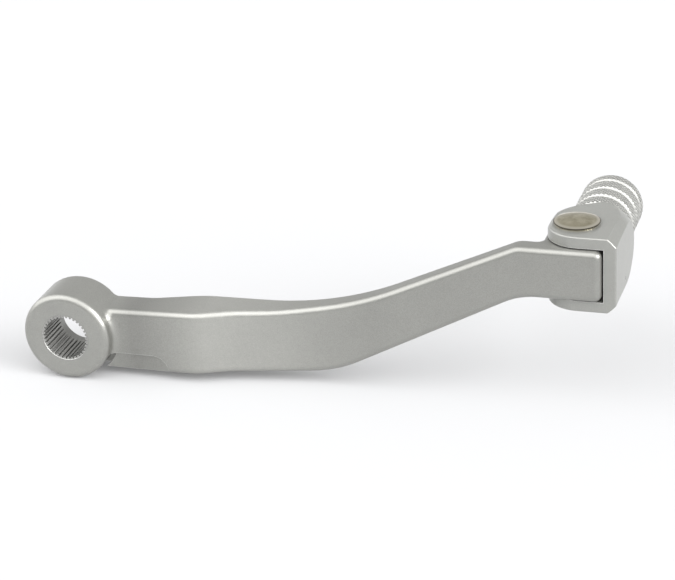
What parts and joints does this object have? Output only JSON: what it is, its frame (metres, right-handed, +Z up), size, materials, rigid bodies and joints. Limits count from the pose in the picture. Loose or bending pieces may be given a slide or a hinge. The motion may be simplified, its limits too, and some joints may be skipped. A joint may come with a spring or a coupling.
{
  "type": "motorcycle gear shift lever",
  "caption": "Cast motorcycle gear shift lever with a splined hub, a bent arm and a spring-loaded folding toe peg on a riveted pivot.",
  "frame": {"origin": "centre of the splined bore, halfway along the hub", "axes": "+X from the hub to the toe end, +Y outward along the bore to the rider's foot, +Z up along the pivot pin"},
  "size_m": [0.166, 0.065, 0.051],
  "materials": {
    "cast_aluminium": "bead-blasted satin",
    "tip_aluminium": "bead-blasted satin",
    "pin_steel": "polished",
    "spring_steel": "drawn wire"
  },
  "bodies": {
    "lever": {"lever_arm": "cast_aluminium"},
    "tip": {"folding_tip": "tip_aluminium", "pivot_pin": "pin_steel", "return_spring": "spring_steel"}
  },
  "joints": [
    {"name": "tip_fold", "type": "hinge", "parent": "lever", "child": "tip", "pos_m": [0.1409, 0.01555, 0.0258], "axis": [0, 0, 1], "range_deg": [0, 65], "stiffness_Nm_per_rad": 0.26, "springref_deg": -40.11, "deforming": ["return_spring"]}
  ]
}
